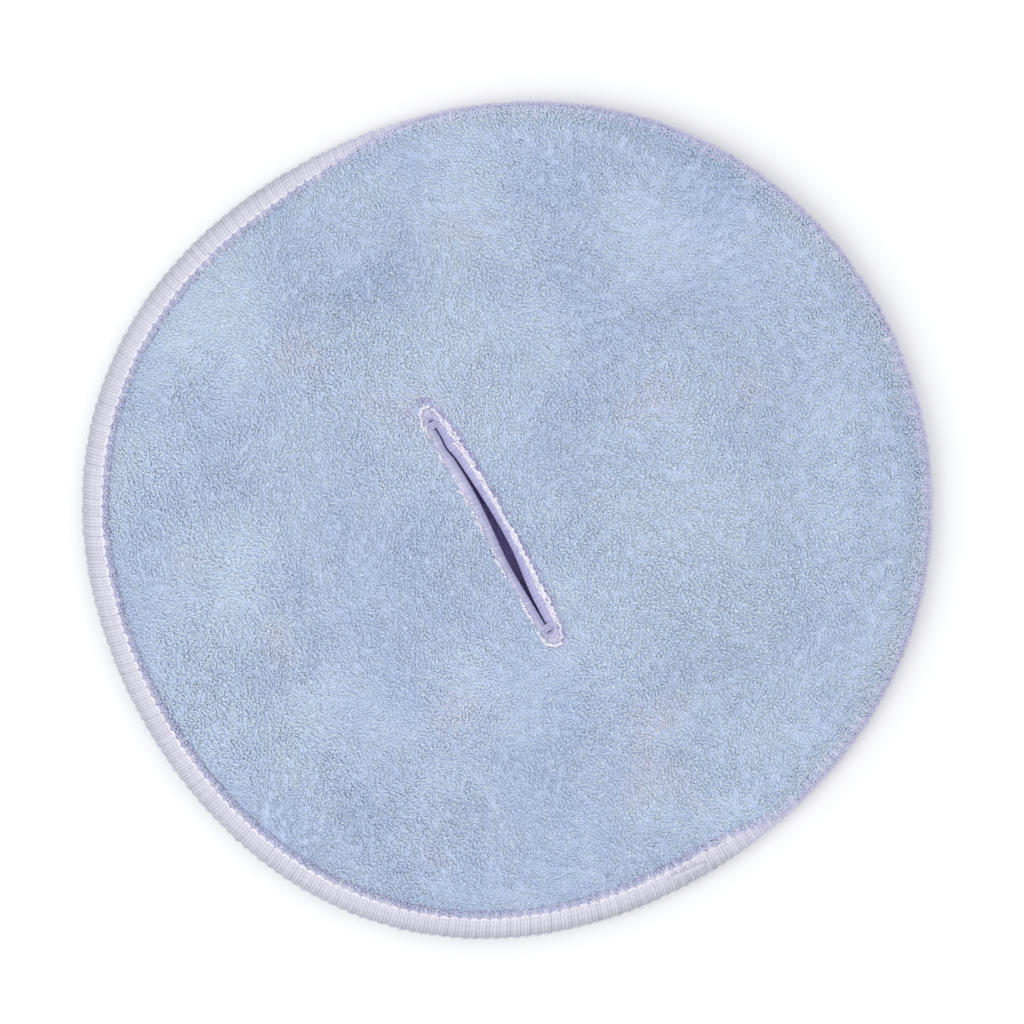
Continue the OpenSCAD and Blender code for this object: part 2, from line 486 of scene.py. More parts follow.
PINK_MIST = (0.78, 0.76, 0.88)
# Painted glints on a few tufts.
PAINTED_GLINT = (0.88, 0.91, 1.0)
BLACK = (0.0, 0.0, 0.0)
# Lilac of the threads mixed with painted shadow, for the pile by the rim's band
LILAC = (0.64, 0.60, 0.85)
# Painted shadow beside the right lip's crest
SHADOW_VIOLET = (0.42, 0.37, 0.66)
PLY_SHADE = (0.30, 0.26, 0.42)
STRAND_SHADE = (0.30, 0.28, 0.40)
# painted shade in the foam's pores
FOAM_PORE_SHADE = (0.36, 0.36, 0.40)
FOAM_SKIN = (0.74, 0.74, 0.78)


def pile_material(name, painted_shade, low, high):
    """Microfibre pile in soft clouds of two tones with faint pinkish patches. Painted shade makes it deeper
    towards the roots between the tufts, and a few tufts are painted near white towards the tip as painted
    glints. edge is painted shadow, partly the threads' lilac: lilac at 1 where the pile meets the rim's band,
    and violet at 2 beside the right lip's stitching."""
    n = Nodes(name)
    tone = n.mix(n.span(n.noise(36.0, 3.0), 0.35, 0.65), low, high)
    tone = n.mix(n.span(n.noise(52.0, 1.0), 0.62, 0.78, 0.0, 0.45), tone, PINK_MIST)
    tuft = n.attribute("shade")
    tone = n.mix(n.span(tuft, 0.0, 1.0, 0.07, 0.0), tone, BLACK)
    # Painted glints: a few tufts turn near white towards the tip.
    tone = n.mix(n.span(tuft, 0.97, 1.0, 0.0, 0.7), tone, PAINTED_GLINT)
    # Painted shadow, partly the threads' lilac, where the pile meets the rim's band.
    tone = n.mix(n.span(n.attribute("edge"), 0.0, 1.0), tone, LILAC)
    # Painted shadow in violet beside the right lip's crest.
    tone = n.mix(n.span(n.attribute("edge"), 1.0, 2.0), tone, SHADOW_VIOLET)
    # Painted shade: each tuft darkens towards its root, where the tufts shade each other.
    colour = n.mix(n.span(n.attribute("along"), 0.0, 0.8), painted_shade, tone)
    n.bump(n.noise(5200.0, 2.0), 0.4, 0.0002)
    return n.finish(colour, 0.9, sheen=0.3, specular=0.2)


def knit_material(name, low, high):
    """The knitted cloth that the pile stands on, with its rows of loops."""
    n = Nodes(name)
    rows = n.add("ShaderNodeTexWave", Scale=420.0, Distortion=1.4, Detail=2.0)
    n.plug(n.coordinates(), rows.inputs["Vector"])
    n.bump(rows.outputs["Fac"], 0.6, 0.0004)
    return n.finish(n.mix(rows.outputs["Fac"], low, high), 0.95, sheen=0.2)


def thread_material(name, pale, painted_shade, lilac, twist):
    """Bulky textured thread. Its plies slant round each strand, with painted shade in the grooves between
    them. Its tone runs from pale to a darker painted shade along it, where the rim's band turns away from the
    light and where the slit's stitching dips into the opening. Its lilac share turns it lilac: the thread's
    own colour round the slit, and painted shade on the rim's rolled side."""
    n = Nodes(name)
    place = n.add("ShaderNodeSeparateXYZ")
    n.plug(n.add("ShaderNodeUVMap", uv_map="strand").outputs[0], place.inputs[0])
    turn = n.math("MULTIPLY", place.outputs["Y"], 4 * math.pi)
    phase = n.math("MULTIPLY_ADD", place.outputs["X"], twist, turn)
    plies = n.math("MULTIPLY_ADD", n.math("SINE", phase), 0.5, 0.5)
    fluff = n.noise(900.0, 3.0)
    colour = n.mix(n.attribute("tone"), pale, painted_shade)
    colour = n.mix(n.attribute("tint_and_shade"), colour, lilac)
    # Painted shade in the grooves between the plies.
    dark = n.math("MULTIPLY", n.math("MULTIPLY", plies, fluff), 0.28)
    colour = n.mix(dark, colour, PLY_SHADE)
    colour = n.mix(n.math("MULTIPLY", n.attribute("shade"), 0.12), colour, STRAND_SHADE)
    n.bump(n.math("ADD", plies, fluff), 0.35, 0.00012)
    return n.finish(colour, 0.6, sheen=0.25, specular=0.35)


def lining_material():
    """Plain woven lining, its two thread directions crossing."""
    n = Nodes("lining_weave")
    waves = []
    for direction in ("X", "Y"):
        wave = n.add("ShaderNodeTexWave", Scale=900.0, Distortion=0.3, bands_direction=direction)
        n.plug(n.coordinates(), wave.inputs["Vector"])
        waves.append(wave.outputs["Fac"])
    weave = n.math("MULTIPLY", *waves)
    n.bump(weave, 0.5, 0.0002)
    return n.finish(n.mix(weave, (0.44, 0.36, 0.90), (0.60, 0.50, 0.97)), 0.8)


def foam_material():
    """Open-cell foam: a pale skin with painted shade in its small cells."""
    n = Nodes("foam_cells")
    cells = n.add("ShaderNodeTexVoronoi", Scale=1400.0)
    n.plug(n.coordinates(), cells.inputs["Vector"])
    distance = cells.outputs["Distance"]
    n.bump(distance, 0.8, 0.0005)
    return n.finish(n.ramp(distance, (0.05, FOAM_PORE_SHADE), (0.45, FOAM_SKIN)), 0.95)


# The first colour of each pile is painted shade towards the tufts' roots.
FACE_PILE = pile_material(
    "face_pile_fibre", painted_shade=(0.58, 0.69, 0.88), low=(0.59, 0.71, 0.90), high=(0.70, 0.80, 0.94)
)
BACK_PILE = pile_material(
    "back_pile_fibre", painted_shade=(0.50, 0.60, 0.82), low=(0.54, 0.65, 0.86), high=(0.65, 0.74, 0.92)
)
GROUND_KNIT = knit_material("ground_knit", low=(0.56, 0.66, 0.88), high=(0.62, 0.72, 0.92))
# On the rim, these threads' darker grey and their lilac are painted shade: grey round the band's outer side,
# lilac on the rolled side.
EDGE_THREAD = thread_material(
    "edge_thread_ply", pale=(0.88, 0.86, 0.94), painted_shade=(0.50, 0.51, 0.57), lilac=(0.68, 0.66, 0.84), twist=5.0
)
# Its darker grey and lilac are painted shade on the rim as above, and its grey is painted shade near the
# slit's opening.
UNDER_THREAD = thread_material(
    "under_thread_ply", pale=(0.74, 0.72, 0.80), painted_shade=(0.55, 0.55, 0.62), lilac=(0.50, 0.45, 0.62), twist=5.0
)
# Round the slit, its darker blue is painted shade near the opening, and its palest colour a painted highlight
# along the crest.
SLIT_THREAD = thread_material(
    "slit_thread_ply", pale=(0.93, 0.92, 0.97), painted_shade=(0.36, 0.39, 0.68), lilac=(0.58, 0.54, 0.78), twist=7.0
)
LINING = lining_material()
FOAM = foam_material()

# ---- cloths


def half_face(side, name, rows=360, columns=90):
    """The face cloth on one side of the slit, a closed sheet with a rounded edge along the opening, and a
    weight for each of its points, for how far it would follow the lip."""
    turn = np.linspace(-math.pi / 2, math.pi / 2, rows)[:, None]
    share = np.linspace(0, 1, columns)[None, :] ** 1.5
    y = CUT_R * np.sin(turn) * np.ones_like(share)
    start = slit_line(y) + side * slit_half(y)
    x = start + (side * CUT_R * np.cos(turn) - start) * share
    over, under = face_top(x, y, side), face_under(x, y)
    across = side * (x - start)
    full = np.maximum(smooth(across / (0.9 * MM)), smooth((np.abs(y) - SLIT_END) / (1.5 * MM)))
    middle, half = (over + under) / 2, (over - under) / 2 * full
    high = np.stack([x, y, middle + half], axis=-1).reshape(-1, 3)
    low = np.stack([x, y, middle - half], axis=-1).reshape(-1, 3)
    count = rows * columns
    inner = np.arange(rows - 1) * columns
    rims = [
        np.stack([i, i + count, i + count + columns, i + columns], axis=-1)
        for i in (inner, inner + columns - 1)
    ]
    faces = [grid_faces(rows, columns), grid_faces(rows, columns) + count, *rims]
    obj = recalculated(mesh_object(name, settle(np.concatenate([high, low])), faces))
    places = point_places(obj)
    return obj, lip_weight(places[:, 0], places[:, 1])


def point_places(obj):
    places = np.empty(len(obj.data.vertices) * 3)
    obj.data.vertices.foreach_get("co", places)
    return places.reshape(-1, 3)


def disc(name, low, high, rings=90, turns=240):
    """A closed round layer between two surfaces, each a function of x and y."""
    r = np.linspace(0, 1, rings)[:, None] * CUT_R
    a = np.linspace(0, 2 * math.pi, turns, endpoint=False)[None, :]
    x, y = r * np.cos(a), r * np.sin(a)
    sides = [np.stack([x, y, height(x, y)], axis=-1).reshape(-1, 3) for height in (high, low)]
    count = rings * turns
    last = count - turns + np.arange(turns)
    following = count - turns + (np.arange(turns) + 1) % turns
    rim = np.stack([last, last + count, following + count, following], axis=-1)
    shell = grid_faces(rings, turns, wrap=True)
    return recalculated(mesh_object(name, settle(np.concatenate(sides)), [shell, shell + count, rim]))


def make_cloths():
    halves = {}
    for side, lip in ((-1, "left_lip"), (1, "right_lip")):
        obj, weights = half_face(side, lip.replace("lip", "face_cloth"))
        add_piece(obj, GROUND_KNIT, replaces=(lip, "face_cloth"))
        bend_with_lip(obj)
        halves[side] = obj
    back = disc("back_cloth_sheet", back_under, back_top)
    foam = disc("foam_sheet", back_top, foam_top)
    lining = disc("lining_sheet", foam_top, lining_top)
    add_piece(back, GROUND_KNIT, ("back_cloth",))
    add_piece(foam, FOAM, ("foam_core",))
    add_piece(lining, LINING, ("pocket_lining",))
    for obj in (back, foam, lining):
        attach(obj, "pad")
    return halves, back, foam, lining


# ---- pile


def scatter(gap, reach, seed):
    """Points a gap apart in a jittered triangular pattern, within a radius."""
    rng = np.random.default_rng(seed)
    n = int(reach / gap) + 2
    i, j = np.meshgrid(np.arange(-n, n + 1), np.arange(-n * 6 // 5, n * 6 // 5 + 1), indexing="ij")
    spots = np.stack([(i + 0.5 * (j % 2)) * gap, j * gap * math.sqrt(3) / 2], axis=-1).reshape(-1, 2)
    spots += rng.uniform(-0.36, 0.36, spots.shape) * gap
    return spots[np.hypot(spots[:, 0], spots[:, 1]) < reach]


def nap(x, y, seed):
    """The direction that the pile leans in, as an angle that wanders over the cloth."""
    return 1.2 + 7.0 * (clouds(x, y, 34 * MM, seed) - 0.5) + 1.2 * (field(x, y, 7 * MM, seed + 5) - 0.5)


def clumps(x, y, angle, seed):
    """Tufts cling together in clumps drawn out along the nap. Gives the distance across to the middle line of
    each point's clump, its depth inside the clump, and a random number for the clump."""
    spread = np.random.default_rng(seed).random((64, 64, 3))
    column, row = np.floor(x / CLUMP).astype(int), np.floor(y / CLUMP).astype(int)
    best = np.full(x.shape, np.inf)
    second = best.copy()
    across, draw = np.zeros(x.shape), np.zeros(x.shape)
    for i in range(-2, 3):
        for j in range(-2, 3):
            cell = spread[(column + i) % 64, (row + j) % 64]
            dx = (column + i + cell[:, 0]) * CLUMP - x
            dy = (row + j + cell[:, 1]) * CLUMP - y
            sideways = dy * np.cos(angle) - dx * np.sin(angle)
            d = np.hypot((dx * np.cos(angle) + dy * np.sin(angle)) / STRETCH, sideways)
            nearer = d < best
            second = np.where(nearer, best, np.minimum(second, d))
            across = np.where(nearer, sideways, across)
            draw = np.where(nearer, cell[:, 2], draw)
            best = np.where(nearer, d, best)
    return across, second - best, draw


def surface_frame(surface, x, y):
    """Points on a surface and their normals."""
    step = 0.2 * MM
    here = settle(np.stack([x, y, surface(x, y)], axis=-1))
    right = settle(np.stack([x + step, y, surface(x + step, y)], axis=-1))
    ahead = settle(np.stack([x, y + step, surface(x, y + step)], axis=-1))
    return here, unit(np.cross(right - here, ahead - here))


def tuft_piece(name, base, normal, lean, length, width, slope, pull, edge, shade):
    """Tufts of fibre with three sides: a root, a full middle and a drawn-in tip. slope is each tuft's angle
    from upright, pull moves its tip sideways, and edge and shade are kept for the material."""
    count = len(base)
    up = normal * (length * np.cos(slope))[:, None]
    over = lean * (length * np.sin(slope))[:, None]
    across = unit(np.cross(normal, lean))
    rise = unit(np.cross(unit(up * 0.8 + over), across))
    turn = math.pi / 2 + np.arange(3) * 2 * math.pi / 3
    sideways = np.cos(turn)[None, :, None] * across[:, None, :]
    ring = sideways + np.sin(turn)[None, :, None] * rise[:, None, :]
    parts = []
    for t, girth in ((0.0, 0.8), (0.5, 1.0)):
        centre = base + up * t ** 0.85 + over * t ** 1.4 + pull * t ** 1.5
        parts.append(centre[:, None, :] - ring * (width * girth / 2)[:, None, None])
    parts.append((base + up + over + pull)[:, None, :])
    points = np.concatenate(parts, axis=1).reshape(-1, 3)
    start = np.arange(count)[:, None] * TUFT_POINTS
    walls = [start + np.array([i, (i + 1) % 3, (i + 1) % 3 + 3, i + 3]) for i in range(3)]
    tips = [start + np.array([i + 3, (i + 1) % 3 + 3, 6]) for i in range(3)]
    roots = start + np.array([2, 1, 0])
    along = np.array([0, 0, 0, 0.5, 0.5, 0.5, 1])
    layout = cell_layout(count, np.array([0, 0.5, 1, 0, 0.5, 1, 0.5]), along)
    floats = {"along": np.tile(along, count)}
    floats["shade"] = np.repeat(shade, TUFT_POINTS)
    floats["edge"] = np.repeat(edge, TUFT_POINTS)
    return mesh_object(name, points, walls + tips + [roots], floats, {BAKE_LAYER: layout})


def tuft_lean(base, normal, angle, outward):
    """Directions of lean along the surface, from an angle and a share of straight outwards."""
    lean = np.stack([np.cos(angle), np.sin(angle), np.zeros(len(base))], axis=-1)
    radial = unit(base * np.array([1, 1, 0]))
    lean = lean * (1 - outward[:, None]) + radial * outward[:, None]
    return unit(lean - normal * np.sum(lean * normal, axis=-1, keepdims=True))


def make_face_pile():
    """The face's pile, each half of it in four pieces."""
    spots = scatter(TUFT_GAP, SEAM_R + FUZZ_W, 21)
    past = np.hypot(*spots.T) - SEAM_R
    rolled = roll(np.arctan2(spots[:, 1], spots[:, 0]))
    sparse = np.random.default_rng(24).random(len(spots)) < 0.9
    x, y = spots[(past < COVER) | (past < FUZZ_W * rolled) & sparse].T
    made = {-1: [], 1: []}
    for side in (-1, 1):
        d = slit_distance(x, y, side)
        ragged = 0.35 * MM * (field(x, y, 1.6 * MM, 23) - 0.5)
        start = CREST + (0.15 if side > 0 else -0.35) * MM + ragged
        here = (d > start) & (side * (x - slit_line(y)) >= 0)
        for number, (low, high) in enumerate(((-90, -30), (-30, 0), (0, 30), (30, 90))):
            part = here & (y >= low * MM) & (y < high * MM)
            name = f"{'right' if side > 0 else 'left'}_face_pile_{number + 1}"
            made[side].append(face_pile_piece(name, side, x[part], y[part], 71 + number))
    return made


def face_pile_piece(name, side, x, y, seed):
    """The face's tufts at some places: lying flat in parts and more upright in others, shorter over the rim,
    and with painted shadow, partly lilac from the threads, beside the slit's stitching and at the rim."""
    rng = np.random.default_rng(seed + side)
    count = len(x)
    r, angle = np.hypot(x, y), nap(x, y, 31)
    across, inside, draw = clumps(x, y, angle, 91)
    rough = smooth((clouds(x, y, ROUGH_SIZE, 41) - 0.36) / 0.28)
    angle = angle + 1.1 * (draw - 0.5) + rng.normal(0, 1, count) * (0.3 + 0.4 * rough)
    base, normal = surface_frame(lambda a, b: pile_base(a, b, side), x, y)
    over_rim = smooth((r - SEAM_R + 0.6 * MM) / (1.2 * MM))
    base -= normal * (0.35 * MM * (1 - over_rim))[:, None]
    normal = unit(normal + over_rim[:, None] * np.array([0, 0, 0.8]))
    depth = smooth(inside / (0.55 * MM))
    rim = smooth((r - 75 * MM) / (8 * MM))
    rolled = roll(np.arctan2(y, x))
    lean = tuft_lean(base, normal, angle, 0.4 * rim)
    length = TUFT_L * (0.80 + 0.20 * depth + 0.12 * draw) * rng.uniform(0.86, 1.12, count)
    length *= 1 - 0.45 * over_rim
    slope = TUFT_SLOPE - 0.3 * rough * depth + 0.30 * over_rim + rng.normal(0, 0.14, count)
    width = TUFT_W * rng.uniform(0.8, 1.2, count)
    sideways = unit(np.cross(normal, lean))
    pull = sideways * (across * (0.15 + 0.4 * rough))[:, None]
    # Painted shadow where the pile meets the rim's band, partly the threads' lilac. It reaches further in on
    # the rolled side, which turns away from the light.
    fringe = 0.85 * smooth((r - SEAM_R + 0.8 * MM - 1.4 * MM * rolled) / (1.6 * MM))
    d = slit_distance(x, y, side)
    # Painted shadow in the groove beside the stitching's crest: strong on the right lip, faint on the left.
    crest_shadow = smooth((1.55 * CREST - d) / (0.4 * CREST)) * (1.8 if side > 0 else 0.2)
    edge = np.maximum(fringe, crest_shadow)
    obj = tuft_piece(name, base, normal, lean, length, width, slope, pull, edge, rng.random(count))
    add_piece(obj, FACE_PILE)
    bend_with_lip(obj)
    return obj


def make_back_pile():
    """The back's pile, pressed flat by the pad's weight, in four pieces."""
    spots = scatter(BACK_TUFT_GAP, SEAM_R, 22)
    quarter = (spots[:, 0] >= 0) * 2 + (spots[:, 1] >= 0)
    made = []
    for number in range(4):
        rng = np.random.default_rng(14 + number)
        x, y = spots[quarter == number].T
        count = len(x)
        r, angle = np.hypot(x, y), nap(x, y, 32)
        across, inside, draw = clumps(x, y, angle, 92)
        angle = angle + 1.1 * (draw - 0.5) + rng.normal(0, 0.3, count)
        base, normal = surface_frame(back_under, x, y)
        normal = -normal
        base -= normal * 0.3 * MM
        rim = smooth((r - 74 * MM) / (9 * MM))
        lean = tuft_lean(base, normal, angle, 0.85 * rim)
        length = BACK_TUFT_L * rng.uniform(0.85, 1.1, count)
        slope = 1.05 + 0.1 * draw + rng.normal(0, 0.1, count)
        pull = unit(np.cross(normal, lean)) * (across * 0.3)[:, None]
        # Painted shadow where the back's pile meets the rim's band, partly the threads' lilac.
        fringe = 0.5 * smooth((r - 82.5 * MM) / (1.2 * MM))
        width = BACK_TUFT_W * rng.uniform(0.8, 1.2, count)
        shade = rng.random(count)
        name = f"back_pile_{number + 1}"
        obj = tuft_piece(name, base, normal, lean, length, width, slope, pull, fringe, shade)
        press_down(obj)
        add_piece(obj, BACK_PILE)
        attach(obj, "pad")
        made.append(obj)
    return made


def press_down(obj):
    """Keeps a piece on the floor: what would go through it is pressed flat against it."""
    places = np.empty(len(obj.data.vertices) * 3, np.float32)
    obj.data.vertices.foreach_get("co", places)
    z = places[2::3]
    pressed = FLOOR_GAP + PRESSED_H * np.exp((z - FLOOR_SOFT) / PRESSED_H)
    places[2::3] = np.where(z < FLOOR_SOFT, pressed, z)
    obj.data.vertices.foreach_set("co", places)
    obj.data.update()


# ---- thread


def strand_group(paths, across, radius, tone=0.0, tint_and_shade=0.0, flat=1.0):
    """Like strands of thread: paths is an array of strands by points by 3, across a direction across them,
    and flat the height of a strand over its width."""
    shape = paths.shape[:2]
    fill = [np.broadcast_to(v, shape) for v in (radius, tone, tint_and_shade)]
    return paths, np.broadcast_to(across, paths.shape), *fill, flat


def tube_points(paths, across, radius, flat, turn):
    """Points of the tubes round some paths, ring by ring."""
    tangent = unit(np.gradient(paths, axis=1))
    normal = unit(np.cross(tangent, across))
    binormal = np.cross(normal, tangent)
    wide = np.cos(turn)[:, None] * binormal[:, :, None, :]
    ring = wide + flat * np.sin(turn)[:, None] * normal[:, :, None, :]
    return (paths[:, :, None, :] + ring * radius[:, :, None, None]).reshape(-1, 3)


def tube_faces(start, strands, count, sides):
    """Faces of like tubes, closed at both ends. Their points are numbered from start on."""
    first = start + np.arange(strands)[:, None] * count * sides
    walls = (first[:, :, None] + grid_faces(count, sides, wrap=True)[None]).reshape(-1, 4)
    return [walls, first + np.arange(sides)[::-1], first + (count - 1) * sides + np.arange(sides)]


def strand_places(paths, turn):
    """A layout in which u runs along each strand in millimetres and v once round it."""
    strands, count = paths.shape[:2]
    steps = np.linalg.norm(np.diff(paths, axis=1), axis=-1)
    run = np.concatenate([np.zeros((strands, 1)), np.cumsum(steps, axis=1)], axis=1) / MM
    round_it = np.broadcast_to(turn / (2 * math.pi), (strands, count, len(turn)))
    along = np.repeat(run[:, :, None], len(turn), axis=2)
    return np.stack([along, round_it], axis=-1).reshape(-1, 2)


def strand_piece(name, groups, sides=6, settled=True):
    """One piece from groups of strands."""
    rng = np.random.default_rng(len(name))
    points, faces, places, cells = [], [], [], []
    floats = {"tone": [], "tint_and_shade": [], "shade": []}
    total = sum(len(group[0]) for group in groups)
    start = strands_before = 0
    turn = np.linspace(0, 2 * math.pi, sides, endpoint=False)
    for paths, across, radius, tone, tint_and_shade, flat in groups:
        strands, count = paths.shape[:2]
        points.append(tube_points(paths, across, radius, flat, turn))
        faces += tube_faces(start, strands, count, sides)
        places.append(strand_places(paths, turn))
        cells.append(strand_cells(strands_before + np.arange(strands), total, count, sides))
        shade = np.repeat(rng.random((strands, 1)), count, 1)
        for key, value in (("tone", tone), ("tint_and_shade", tint_and_shade), ("shade", shade)):
            floats[key].append(np.repeat(value, sides, axis=1).ravel())
        start += strands * count * sides
        strands_before += strands
    points = np.concatenate(points)
    floats = {key: np.concatenate(values) for key, values in floats.items()}
    layers = {"strand": np.concatenate(places), BAKE_LAYER: np.concatenate(cells)}
    return mesh_object(name, settle(points) if settled else points, faces, floats, layers)


def strand_cells(index, total, count, sides):
    """A texture cell for each strand, which runs up its own cell."""
    side = math.ceil(math.sqrt(total))
    u = np.tile(np.linspace(0.1, 0.9, sides), count)
    v = np.repeat(np.linspace(0.05, 0.95, count), sides)
    column = (index % side)[:, None] + u[None, :]
    row = (index // side)[:, None] + v[None, :]
    return np.stack([column, row], axis=-1).reshape(-1, 2) / side


def round_rim(radius, angle, height):
    return np.stack([radius * np.cos(angle), radius * np.sin(angle), height], axis=-1)


def band_outline(turn, inset):
    """Radius and height of the band's rounded outline, at an angle from its outer edge."""
    width, height = BAND_W / 2 - inset, BAND_H / 2 - inset
    r = (RIM_R + SEAM_R) / 2 + width * np.sign(np.cos(turn)) * np.abs(np.cos(turn)) ** (2 / BAND_CURVE)
    z = SEAM_Z + height * np.sign(np.sin(turn)) * np.abs(np.sin(turn)) ** (2 / BAND_CURVE)
    return r, z


def looper_strands(upper, rng):
    """Thread over one half of the rim: a rib of strands for each stitch, with the middle strand proud."""
    count = STITCHES * STRANDS
    pitch = 2 * math.pi / STITCHES
    k = np.arange(count)
    within = k % STRANDS - (STRANDS - 1) / 2
    centre = (k // STRANDS + within / STRANDS * 0.97) * pitch + rng.normal(0, 0.012, count) * pitch
    proud = np.where(within == 0, 0.16, 0.0) * MM + rng.normal(0, 0.04, count) * MM
    rib = np.repeat(rng.normal(0, 0.05, STITCHES), STRANDS) * MM
    turn = np.linspace(math.radians(158), math.radians(-14), 15)
    share = np.linspace(0, 1, len(turn))
    r, z = band_outline(turn if upper else -turn, (EDGE_THREAD_R * 0.62 - proud - rib)[:, None])
    slant = (0.5 - share) * 0.34 * pitch * (1 if upper else -1)
    angle = centre[:, None] + slant[None, :]
    way = round_rim(np.zeros_like(angle), angle, 0 * angle)
    way[..., 0], way[..., 1] = -np.sin(angle), np.cos(angle)
    radius = EDGE_THREAD_R * 1.18 * (1 - 0.2 * np.abs(2 * share - 1) ** 3)
    # Painted shade: the band's threads go from pale on its top to grey round its outer side, which turns away
    # from the light.
    tone = 0.36 + 0.64 * smooth((share - 0.28) / 0.5)
    # Painted shade: the band turns lilac on the rolled side, which faces away from the light.
    tint_and_shade = 0.85 * roll(angle)
    return strand_group(round_rim(r, angle, z), way, radius, tone, tint_and_shade, flat=0.8)


def stitch_loops(r, z, reach, bow, thick, rng, rise=0.0, tone=0.0):
    """One short strand for each stitch, lying along the rim and bowed outwards."""
    pitch = 2 * math.pi / STITCHES
    along = np.linspace(-1, 1, 7)
    uneven = rng.normal(0, 0.02, (STITCHES, 1)) * pitch
    angle = np.arange(STITCHES)[:, None] * pitch + along * reach * pitch + uneven
    out = r + bow * (1 - along ** 2) + rng.normal(0, 0.05, (STITCHES, 1)) * MM
    height = z + rise * along + np.zeros_like(angle)
    radius = thick * np.sqrt(1 - 0.8 * along ** 4) * (1 - 0.3 * roll(angle))
    # Painted shade: lilac on the rolled side, as on the band.
    return strand_group(round_rim(out, angle, height), (0.0, 0.0, 1.0), radius, tone, 0.9 * roll(angle))


def make_rim():
    rng = np.random.default_rng(5)
    upper = looper_strands(True, rng)
    lower = looper_strands(False, rng)
    outer_r, outer_z = RIM_R - 0.15 * MM, SEAM_Z - 0.2 * MM
    pearls = stitch_loops(outer_r, outer_z, 0.52, 0.3 * MM, 0.44 * MM, rng, rise=0.45 * MM)
    top = stitch_loops(SEAM_R + COVER + 0.7 * MM, BAND_TOP, 0.50, -0.5 * MM, 0.38 * MM, rng)
    bottom = stitch_loops(SEAM_R + 1.25 * MM, BAND_LOW + 0.25 * MM, 0.50, -0.5 * MM, 0.36 * MM, rng)
    for name, groups, material, slot, node in (
        ("upper_looper_strands", [upper], EDGE_THREAD, "edge_thread", "upper_looper_thread"),
        ("lower_looper_strands", [lower, pearls], UNDER_THREAD, "under_thread", "lower_looper_thread"),
        ("needle_thread_loops", [top, bottom], EDGE_THREAD, "edge_thread", "overlock_needle_thread"),
        ("thread_tail_plies", tail_plies(), UNDER_THREAD, "under_thread", "thread_tail"),
    ):
        obj = strand_piece(name, groups)
        add_piece(obj, material, (node,))
        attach(obj, "pad")


def tail_plies():
    """The end of the overlock's chain: three plies twisted together and sewn down along the band."""
    t = np.linspace(0, 1, 60)[None, :]
    groups = []
    for ply in range(3):
        twist = t * 7 * math.pi + ply * 2 * math.pi / 3
        angle = -math.pi / 2 + (t - 0.5) * 9.5 * MM / RIM_R
        r = (RIM_R + SEAM_R) / 2 + 0.28 * MM * np.cos(twist) + 0.7 * MM * t
        z = BAND_TOP + 0.5 * MM + 0.28 * MM * np.sin(twist) - 0.5 * MM * (2 * t - 1) ** 6
        radius = 0.33 * MM * np.sqrt(np.clip(1 - (2 * t - 1) ** 6, 0.05, 1))
        groups.append(strand_group(round_rim(r, angle, z), (0.0, 0.0, 1.0), radius))
    return groups


# ---- the slit's stitching

# Sections through the stitching: distance from the opening's edge and height above the cloth's underside, in
# millimetres
WRAP_OVER = (
    (0.0, 0.6), (-0.06, 1.1), (0.2, 1.6), (0.7, 2.05), (1.4, 2.35), (2.0, 2.55), (2.4, 2.45), (2.6, 2.0)
)
WRAP_UNDER = ((-0.02, 0.7), (0.25, 0.05), (0.9, -0.2), (1.8, -0.22), (2.5, 0.05))
TACK_OVER = ((0.7, 1.4), (1.0, 1.85), (1.5, 2.25), (2.0, 2.5), (2.3, 2.4), (2.5, 1.95))
TACK_TURNS = 27
TACK_BEADS = 21
CREST_Z = 2.85 * MM
LEFT_DROP = 0.3 * MM  # how much lower the left lip's stitching lies


def resample(points, count):
    """Evenly spaced points along a smooth curve through a few points given in millimetres."""
    points = np.asarray(points, float) * MM
    t = np.concatenate([[0], np.cumsum(np.linalg.norm(np.diff(points, axis=0), axis=1))])
    even = np.linspace(0, t[-1], count)
    curve = np.stack([np.interp(even, t, points[:, i]) for i in range(2)], axis=-1)
    for _ in range(2):
        curve[1:-1] = (curve[:-2] + 2 * curve[1:-1] + curve[2:]) / 4
    return curve


def lip_wraps(side, section, count, thick, rng):
    """Turns of thread side by side along a lip."""
    curve = resample(section, count)
    stations = np.arange(-SLIT_END, SLIT_END, WRAP_GAP)
    many = (len(stations), 1)
    stations = stations[:, None] + rng.normal(0, 0.03, many) * MM
    y = stations + np.linspace(-0.5, 0.5, count) * 0.35 * MM
    d = curve[:, 0] * rng.normal(1, 0.04, many) * lip_share(y, side)
    x = slit_line(y) + side * (slit_half(y) + d)
    drop = 0.0 if side > 0 else LEFT_DROP
    z = FACE_LOW + curve[:, 1] - drop * smooth(curve[:, 1] / (1.5 * MM)) + rng.normal(0, 0.025, many) * MM
    radius = thick * (1 - 0.3 * np.abs(np.linspace(-1, 1, count)) ** 4)
    # Painted shade, with random variation: the wraps are darker and bluer near the opening, where they dip
    # into the slit, and paler towards the crest. The left lip's stitching gets less of it, and less lilac.
    tone = np.clip(1.0 - 0.6 * smooth((d / CREST - 0.35) / 0.6) + rng.normal(0, 0.16, many), 0, 1)
    tone, tint_and_shade = (tone, 0.45) if side > 0 else (0.7 * tone, 0.2)
    return strand_group(np.stack([x, y, z], axis=-1), (0.0, 1.0, 0.0), radius, tone, tint_and_shade, flat=0.8)


